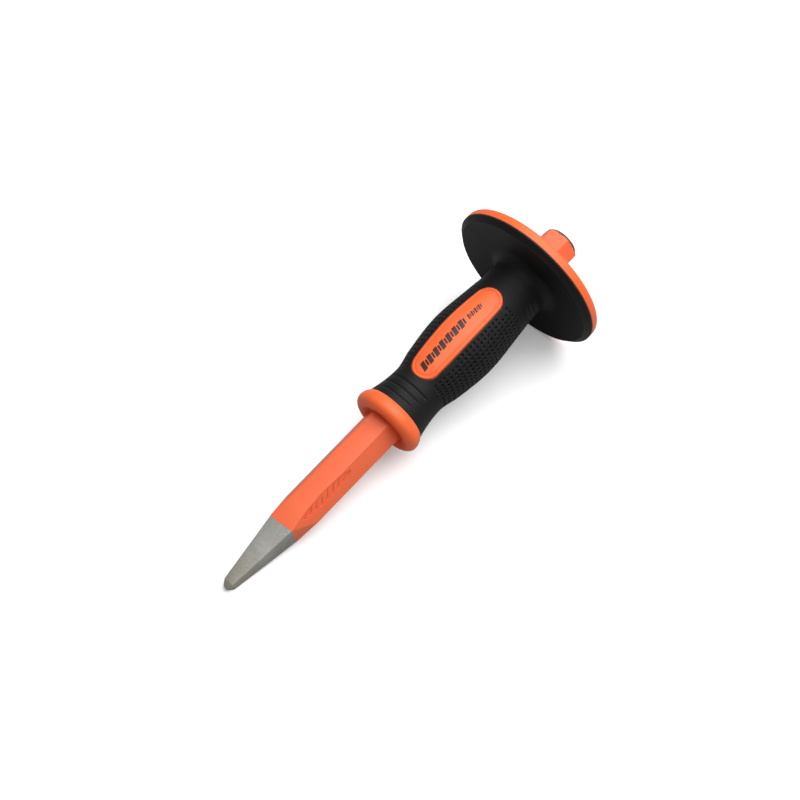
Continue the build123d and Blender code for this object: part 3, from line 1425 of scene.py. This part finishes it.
@dataclass(frozen=True)
class BarFinish(Finish):
    """Orange enamel over forged steel, with the ground point left bare."""

    enamel: Colour
    steel: Colour
    scorched: Colour
    worn_and_highlit: Colour
    darkened_rim: Colour
    bareness: float
    worn_and_highlit_most: float = 0.5
    paint_start: float = 40.7
    paint_blur: float = 0.12
    paint_slant: float = 0.06
    paint_ragged: float = 0.7
    paint_step: float = 1.2
    scorch_ends: Place = (2.0, 34.0)
    brush_stretch: tuple[float, float, float] = (0.5, 4.0, 4.0)
    brush_contrast: Place = (0.55, 1.45)
    darkened_rim_reach: float = 7.6
    darkened_rim_length: float = 2.2
    darkened_rim_most: float = 0.9

    def _paint_edge(
        self, w: Wiring, axes: bpy.types.Node, ragged: bpy.types.NodeSocket
    ) -> bpy.types.NodeSocket:
        """Mask of the enamel, which starts at a slightly slanted and ragged line.

        Args:
            w: Wiring of the material.
            axes: Node that puts out the place in the tool's own frame, in millimetres.
            ragged: Value that breaks up the edge of the mask.

        Returns:
            The mask, 1 where the bar is painted.
        """
        slant = w.math("MULTIPLY_ADD", axes.outputs["Y"], self.paint_slant, ragged)
        edge = w.math("ADD", axes.outputs["X"], slant)
        return w.step(edge, self.paint_start - self.paint_blur, self.paint_start + self.paint_blur)

    def _ground_steel(
        self, w: Wiring, effects: EffectGroups, place: bpy.types.NodeSocket, brushed: object
    ) -> bpy.types.NodeSocket:
        """Colour of the ground point: scorched at its tip, mottled and brushed.

        Args:
            w: Wiring of the material.
            effects: The shared groups.
            place: Place in the tool's own frame, in millimetres.
            brushed: Value of the grinding marks.

        Returns:
            The colour, before its edges are rubbed bright.
        """
        axes = w.add("ShaderNodeSeparateXYZ")
        w.join(place, axes.inputs[0])
        cool = w.mix(w.step(axes.outputs["X"], *self.scorch_ends), self.scorched, self.steel)
        ground = self._group(w, effects.mottle, Place=place, Colour=cool, Amount=1.0)
        bright = w.add("ShaderNodeHueSaturation")
        w.join(ground.outputs["Colour"], bright.inputs["Color"])
        w.join(w.scaled(brushed, *self.brush_contrast), bright.inputs["Value"])
        return bright.outputs["Color"]

    def _struck_rim(
        self, w: Wiring, axes: bpy.types.Node, ragged: bpy.types.NodeSocket
    ) -> bpy.types.NodeSocket:
        """Mask of a ring round the rim of the struck face, which is darkened to dark brown.

        Args:
            w: Wiring of the material.
            axes: Node that puts out the place in the tool's own frame, in millimetres.
            ragged: Value that breaks up the edge of the mask.

        Returns:
            The mask, short of full strength.
        """
        y, z = axes.outputs["Y"], axes.outputs["Z"]
        reach = w.math("SQRT", w.math("MULTIPLY_ADD", y, y, w.math("MULTIPLY", z, z)))
        on_rim = w.step(reach, self.darkened_rim_reach - 0.5, self.darkened_rim_reach + 0.3)
        end = SIZES.length / MM
        start = end - self.darkened_rim_length
        near_end = w.step(w.math("ADD", axes.outputs["X"], ragged), start, start + 0.6)
        return w.math("MULTIPLY", w.math("MULTIPLY", on_rim, near_end), self.darkened_rim_most)

    def build(self, effects: EffectGroups) -> bpy.types.Material:
        """Wire the material.

        Args:
            effects: The shared groups.

        Returns:
            The material.
        """
        material, w, shader = self._start()
        place = self._group(w, effects.tool_place).outputs["Place"]
        axes = w.add("ShaderNodeSeparateXYZ")
        w.join(place, axes.inputs[0])
        ragged = w.scaled(w.noise(place, 0.5, 3.0), -self.paint_ragged, self.paint_ragged)
        painted = self._paint_edge(w, axes, ragged)
        grind = w.add("ShaderNodeMapping", vector_type="POINT")
        grind.inputs["Scale"].default_value = self.brush_stretch
        w.join(place, grind.inputs["Vector"])
        brushed = w.noise(grind.outputs["Vector"], 1.2, 5.0)
        enamel = self._group(w, effects.mottle, Place=place, Colour=self.enamel, Amount=self.drift)
        # the rim of the struck face is darkened to a dark brown ring
        coat = w.mix(self._struck_rim(w, axes, ragged), enamel.outputs["Colour"], self.darkened_rim)
        wear_and_highlight = self._group(w, effects.edge_wear_and_highlight, Place=place, Radius=0.8 * MM, Broken=0.15)
        worn_and_highlit = w.math("MULTIPLY", wear_and_highlight.outputs["Mask"], self.worn_and_highlit_most)
        bare = w.mix(worn_and_highlit, self._ground_steel(w, effects, place, brushed), self.worn_and_highlit)
        colour = w.mix(painted, bare, coat)
        w.join(colour, shader.inputs["Base Color"])
        metal = w.math("SUBTRACT", 1.0, painted)
        w.join(w.math("MULTIPLY", metal, self.bareness), shader.inputs["Metallic"])
        rough = w.scaled(brushed, self.roughness - 0.02, self.roughness + 0.14)
        gloss = w.scaled(enamel.outputs["Patches"], self.roughness - 0.1, self.roughness + 0.06)
        mixed = w.add("ShaderNodeMix", data_type="FLOAT")
        w.join(painted, mixed.inputs[0])
        w.join(rough, mixed.inputs[2])
        w.join(gloss, mixed.inputs[3])
        w.join(mixed.outputs[0], shader.inputs["Roughness"])
        grain = self._grain(w, effects, place)
        height = w.math("ADD", grain, w.math("MULTIPLY", painted, self.paint_step))
        w.join(w.bump(height, self.relief), shader.inputs["Normal"])
        shader.inputs["Specular IOR Level"].default_value = self.sheen_level
        return material


@dataclass(frozen=True)
class MarkRow:
    """One row of printed marks, in millimetres: a tall and a short bar, again and again."""

    start: float
    pitch: float
    count: int
    thick: float
    gap: float
    half_height: float


@dataclass(frozen=True)
class PlasticFinish(Finish):
    """Semi-matt moulded orange plastic, with the printed marks on the label pad."""

    colour: Colour
    ink: Colour
    rows: tuple[MarkRow, ...]
    ink_cover: float = 0.97
    ink_step: float = 0.4
    lean: float = -0.32
    short_share: float = 0.7

    def _marks(self, w: Wiring, axes: bpy.types.Node) -> bpy.types.NodeSocket:
        """Mask of the printed marks: slanted bars in two groups along the pad.

        Args:
            w: Wiring of the material.
            axes: Node that puts out the place in the tool's own frame.

        Returns:
            The mask, 1 in the marks.
        """
        along = w.math("SUBTRACT", axes.outputs["X"], PAD.front / MM)
        leant = w.math("MULTIPLY_ADD", axes.outputs["Y"], self.lean, along)
        beside = w.math("ABSOLUTE", axes.outputs["Y"])
        groups = []
        for row in self.rows:
            local = w.math("SUBTRACT", leant, row.start)
            cycle = w.math("MODULO", local, row.pitch)
            thick = w.math("LESS_THAN", cycle, row.thick)
            late = w.math("GREATER_THAN", cycle, row.thick + row.gap)
            thin = w.math("MULTIPLY", late, w.math("LESS_THAN", cycle, row.pitch - row.gap))
            tall = w.math("MULTIPLY", thick, w.math("LESS_THAN", beside, row.half_height))
            low = row.half_height * self.short_share
            short = w.math("MULTIPLY", thin, w.math("LESS_THAN", beside, low))
            begun = w.math("GREATER_THAN", local, 0.0)
            ended = w.math("LESS_THAN", local, row.pitch * row.count)
            inside = w.math("MULTIPLY", begun, ended)
            groups.append(w.math("MULTIPLY", inside, w.math("ADD", tall, short)))
        top = w.math("GREATER_THAN", axes.outputs["Z"], SIZES.sleeve_radius / MM)
        return w.math("MULTIPLY", w.math("MAXIMUM", *groups), top)

    def build(self, effects: EffectGroups) -> bpy.types.Material:
        """Wire the material.

        Args:
            effects: The shared groups.

        Returns:
            The material.
        """
        material, w, shader = self._start()
        place = self._group(w, effects.tool_place).outputs["Place"]
        axes = w.add("ShaderNodeSeparateXYZ")
        w.join(place, axes.inputs[0])
        body = self._group(w, effects.mottle, Place=place, Colour=self.colour, Amount=self.drift)
        marks = self._marks(w, axes)
        printed = w.math("MULTIPLY", marks, self.ink_cover)
        w.join(w.mix(printed, body.outputs["Colour"], self.ink), shader.inputs["Base Color"])
        rough = w.scaled(body.outputs["Patches"], self.roughness - 0.05, self.roughness + 0.08)
        w.join(rough, shader.inputs["Roughness"])
        shader.inputs["Specular IOR Level"].default_value = self.sheen_level
        grain = self._grain(w, effects, place)
        height = w.math("ADD", grain, w.math("MULTIPLY", marks, self.ink_step))
        w.join(w.bump(height, self.relief), shader.inputs["Normal"])
        return material


@dataclass(frozen=True)
class RubberFinish(Finish):
    """Matt black moulded rubber; a painted highlight makes its edges and dimple rims grey."""

    colour: Colour
    worn_and_highlit: Colour
    worn_and_highlit_most: float = 0.8

    def build(self, effects: EffectGroups) -> bpy.types.Material:
        """Wire the material.

        Args:
            effects: The shared groups.

        Returns:
            The material.
        """
        material, w, shader = self._start()
        place = self._group(w, effects.tool_place).outputs["Place"]
        body = self._group(w, effects.mottle, Place=place, Colour=self.colour, Amount=self.drift)
        wear_and_highlight = self._group(w, effects.edge_wear_and_highlight, Place=place, Radius=0.5 * MM, Broken=0.5)
        # painted highlight: the rubber is lightened to grey along its edges, ridges and dimple
        # rims
        worn_and_highlit = w.math("MULTIPLY", wear_and_highlight.outputs["Mask"], self.worn_and_highlit_most)
        w.join(w.mix(worn_and_highlit, body.outputs["Colour"], self.worn_and_highlit), shader.inputs["Base Color"])
        rough = w.scaled(body.outputs["Patches"], self.roughness - 0.08, self.roughness + 0.08)
        w.join(rough, shader.inputs["Roughness"])
        grain = self._grain(w, effects, place)
        w.join(w.bump(grain, self.relief), shader.inputs["Normal"])
        shader.inputs["Specular IOR Level"].default_value = self.sheen_level
        return material


# ---------------------------------------------------------------------------- the studio


@dataclass(frozen=True)
class Studio:
    """Plain pale floor, soft light and the camera."""

    target: tuple[float, float, float] = (0.0006, 0.0017, 0.030)
    distance: float = 0.9088
    heading: float = 39.95
    elevation: float = 55.54
    roll: float = 3.25
    lens: float = 81.0
    floor_size: float = 6.0
    floor_colour: Colour = (0.93, 0.93, 0.93)
    floor_bounce: Colour = (0.40, 0.40, 0.40)
    floor_glow: Colour = (0.2, 0.2, 0.2)
    floor_unseen_glow: Colour = (0.0, 0.0, 0.0)
    sky_light: Colour = (0.29, 0.29, 0.29)
    sky_seen: Colour = (0.46, 0.46, 0.46)
    softbox_place: tuple[float, float, float] = (0.32, -0.14, 0.92)
    softbox_size: float = 1.2
    power: float = 17.0

    def _camera(self) -> None:
        """Place the camera."""
        heading, elevation = math.radians(self.heading), math.radians(self.elevation)
        look = Vector((
            math.cos(heading) * math.cos(elevation),
            math.sin(heading) * math.cos(elevation),
            -math.sin(elevation),
        ))
        camera = bpy.data.objects.new("camera", bpy.data.cameras.new("camera"))
        bpy.context.scene.collection.objects.link(camera)
        turn = look.to_track_quat("-Z", "Y").to_matrix().to_4x4()
        place = Matrix.Translation(Vector(self.target) - look * self.distance)
        camera.matrix_world = place @ turn @ Matrix.Rotation(math.radians(self.roll), 4, "Z")
        camera.data.lens = self.lens
        camera.data.sensor_width = 36.0
        camera.data.clip_start = 0.01
        bpy.context.scene.camera = camera

    def _floor(self) -> None:
        """Lay the pale floor that the tool lies on."""
        clear_selection()
        bpy.ops.mesh.primitive_plane_add(size=self.floor_size)
        floor = take_new("floor")
        material = bpy.data.materials.new("pale_floor")
        material.use_nodes = True
        wiring = Wiring(material.node_tree)
        shader = material.node_tree.nodes["Principled BSDF"]
        shader.inputs["Roughness"].default_value = 0.9
        seen = wiring.add("ShaderNodeLightPath").outputs["Is Camera Ray"]
        tone = wiring.mix(seen, self.floor_bounce, self.floor_colour)
        wiring.join(tone, shader.inputs["Base Color"])
        glow = wiring.mix(seen, self.floor_unseen_glow, self.floor_glow)
        wiring.join(glow, shader.inputs["Emission Color"])
        shader.inputs["Emission Strength"].default_value = 1.0
        floor.data.materials.append(material)

    def _light(self, name: str, place: Vector, size: float, power: float) -> None:
        """Hang a soft square light that faces the tool.

        Args:
            name: Name of the light.
            place: Where it hangs.
            size: Side of the square.
            power: Its power in watts.
        """
        light = bpy.data.lights.new(name, "AREA")
        light.size = size
        light.energy = power
        lamp = bpy.data.objects.new(name, light)
        bpy.context.scene.collection.objects.link(lamp)
        turn = (-place).to_track_quat("-Z", "Y").to_matrix().to_4x4()
        lamp.matrix_world = Matrix.Translation(place) @ turn

    def build(self) -> None:
        """Set the stage."""
        self._camera()
        self._floor()
        world = bpy.data.worlds.new("studio")
        world.use_nodes = True
        wiring = Wiring(world.node_tree)
        seen = wiring.add("ShaderNodeLightPath").outputs["Is Camera Ray"]
        sky = world.node_tree.nodes["Background"].inputs["Color"]
        wiring.join(wiring.mix(seen, self.sky_light, self.sky_seen), sky)
        bpy.context.scene.world = world
        bpy.context.scene.view_settings.view_transform = "Standard"
        self._light("overhead_softbox", Vector(self.softbox_place), self.softbox_size, self.power)


ENAMEL = BarFinish(
    name="enamelled_steel",
    roughness=0.42,
    sheen_level=0.3,
    drift=0.14,
    grain=0.35,
    ripple=1.0,
    relief=0.05 * MM,
    enamel=(0.80, 0.138, 0.052),
    steel=(0.33, 0.325, 0.305),
    scorched=(0.35, 0.33, 0.28),
    worn_and_highlit=(0.50, 0.49, 0.46),
    # dark brown of the darkened ring round the rim of the struck face
    darkened_rim=(0.07, 0.018, 0.010),
    bareness=0.45,
)
PLASTIC = PlasticFinish(
    name="orange_plastic",
    roughness=0.40,
    sheen_level=0.35,
    drift=0.12,
    grain=0.5,
    ripple=0.4,
    relief=0.04 * MM,
    colour=(0.86, 0.13, 0.03),
    ink=(0.022, 0.011, 0.011),
    rows=(
        MarkRow(start=4.6, pitch=4.75, count=7, thick=2.6, gap=0.42, half_height=2.3),
        MarkRow(start=39.6, pitch=2.6, count=4, thick=1.1, gap=0.36, half_height=1.5),
    ),
)
RUBBER = RubberFinish(
    name="black_rubber",
    roughness=0.55,
    sheen_level=0.18,
    drift=0.6,
    grain=1.0,
    ripple=0.6,
    relief=0.06 * MM,
    colour=(0.006, 0.006, 0.006),
    # grey of the painted highlight along the rubber's edges, ridges and dimple rims
    worn_and_highlit=(0.085, 0.085, 0.08),
)


def corners(bounds: tuple[Vector, Vector]) -> list[list[float]]:
    """A box as plain lists of numbers."""
    return [list(corner) for corner in bounds]


def main() -> None:
    """Build the studio and every piece, and dress and place each one."""
    logging.basicConfig(level=logging.INFO, format="%(name)s: %(message)s")
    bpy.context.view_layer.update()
    Studio().build()
    effects = EffectGroups()
    pieces = (
        (ForgedBar(), ENAMEL, "chisel_bar", Slot.BAR),
        (HardCore(), PLASTIC, "grip_core", Slot.CORE),
        (RubberGrip(), RUBBER, "grip_overmould", Slot.RUBBER),
    )
    for maker, finish, node, slot in pieces:
        piece = maker.build()
        piece.data.materials.clear()
        piece.data.materials.append(finish.build(effects))
        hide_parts(node)
        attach(piece, "root")
        LOG.info("%s: %d faces", piece.name, len(piece.data.polygons))


if __name__ == "__main__":
    main()
